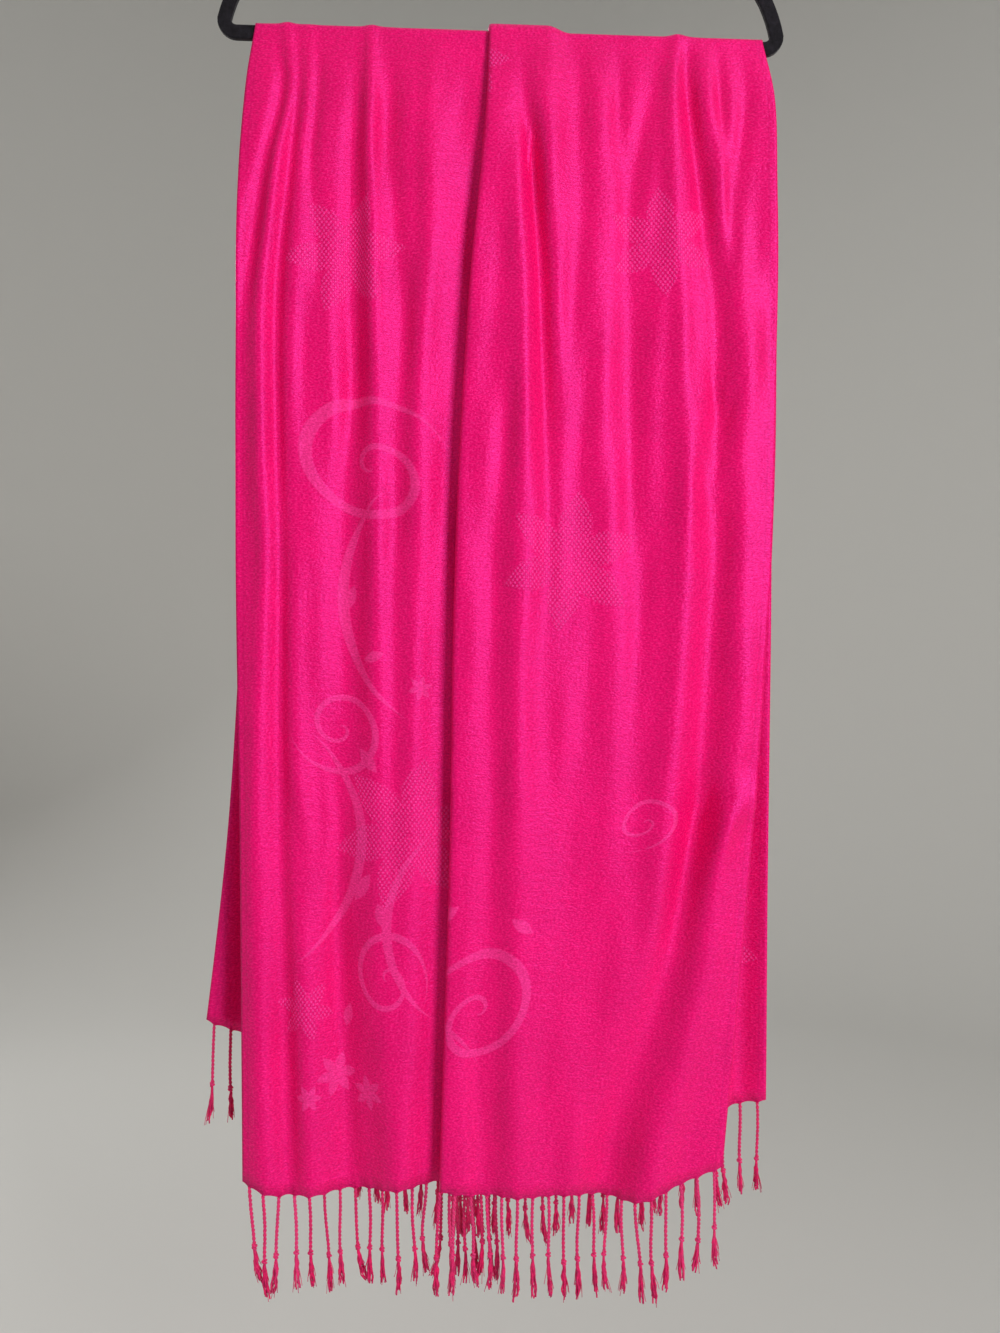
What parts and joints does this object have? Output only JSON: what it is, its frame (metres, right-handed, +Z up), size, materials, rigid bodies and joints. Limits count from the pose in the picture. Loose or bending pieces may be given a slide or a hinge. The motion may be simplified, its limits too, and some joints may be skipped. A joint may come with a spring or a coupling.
{
  "type": "pashmina shawl on a hanger",
  "caption": "Long fringed shawl of silky woven cloth, draped over the bar of a slim flocked clothes hanger with a wire hook.",
  "frame": {"origin": "hook seat: the inside of the hook's top, where a rail or peg carries the hanger", "axes": "+Z up, +X to the right of someone facing the front fall, -Y towards them"},
  "size_m": [0.4591, 0.0532, 1.1858],
  "materials": {
    "shawl_cloth": "silky jacquard weave, hot pink, tone on tone",
    "fringe_yarn": "twisted and knotted yarn, hot pink",
    "flocked_plastic": "black flock over a moulded frame",
    "hook_wire": "plated steel wire"
  },
  "bodies": {
    "root": {"cloth_front": "shawl_cloth", "cloth_over_bar": "shawl_cloth", "cloth_back": "shawl_cloth", "fringe_front": "fringe_yarn", "fringe_back": "fringe_yarn", "hanger_frame": "flocked_plastic", "hanger_hook": "hook_wire"}
  },
  "joints": []
}
